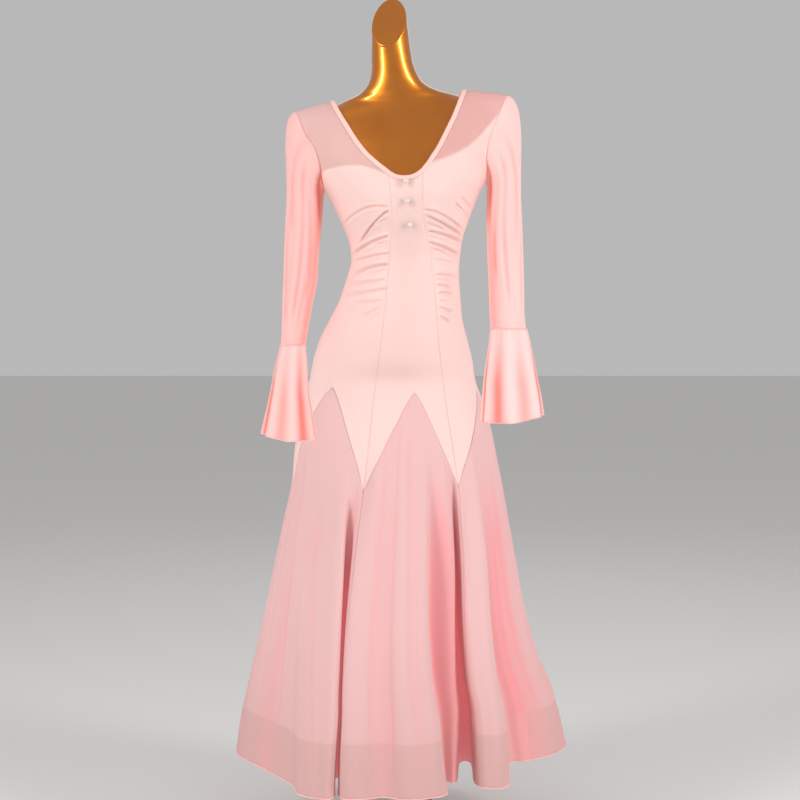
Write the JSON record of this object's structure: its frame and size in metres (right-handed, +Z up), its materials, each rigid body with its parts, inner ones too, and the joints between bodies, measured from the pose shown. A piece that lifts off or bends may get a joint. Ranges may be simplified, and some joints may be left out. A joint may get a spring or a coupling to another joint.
{
  "type": "long-sleeved swing dance dress on a limbless dress form with a stand",
  "caption": "Pale pink swing dance dress with a ruched bodice, flounce cuffs and a godet skirt, worn by a gold limbless dress form on a pole stand.",
  "frame": {"origin": "middle of the underside of the stand's round base, on the axis of the pole", "axes": "+Z up; the front of the dress faces -Y; +X is on the right of someone who looks at the front"},
  "size_m": [0.6552, 0.6942, 1.6804],
  "materials": {
    "bodice_knit": "soft, with a slight sheen",
    "skirt_chiffon": "matte and sheer",
    "lining_mesh": "matte",
    "binding_satin": "slight sheen",
    "sleeve_mesh": "matte and sheer",
    "pearl": "pearly gloss",
    "gold_shell": "mirror-like metallic gold lacquer",
    "stand_metal": "brushed"
  },
  "bodies": {
    "root": {"centre_front": "bodice_knit", "side_front_left": "bodice_knit", "side_front_right": "bodice_knit", "side_back_right": "bodice_knit", "centre_back": "bodice_knit", "side_back_left": "bodice_knit", "godet_front_left": "skirt_chiffon", "godet_front": "skirt_chiffon", "godet_front_right": "skirt_chiffon", "godet_back_right": "skirt_chiffon", "godet_back": "skirt_chiffon", "godet_back_left": "skirt_chiffon", "hem_facing": "skirt_chiffon", "neck_binding": "binding_satin", "bust_lining": "lining_mesh", "sleeve_left": "sleeve_mesh", "sleeve_right": "sleeve_mesh", "flounce_left": "sleeve_mesh", "flounce_right": "sleeve_mesh", "button_1": "pearl", "button_2": "pearl", "button_3": "pearl", "form_body": "gold_shell", "stand_base": "stand_metal", "stand_collar": "stand_metal", "stand_pole": "stand_metal", "stand_flange": "stand_metal"}
  },
  "joints": []
}
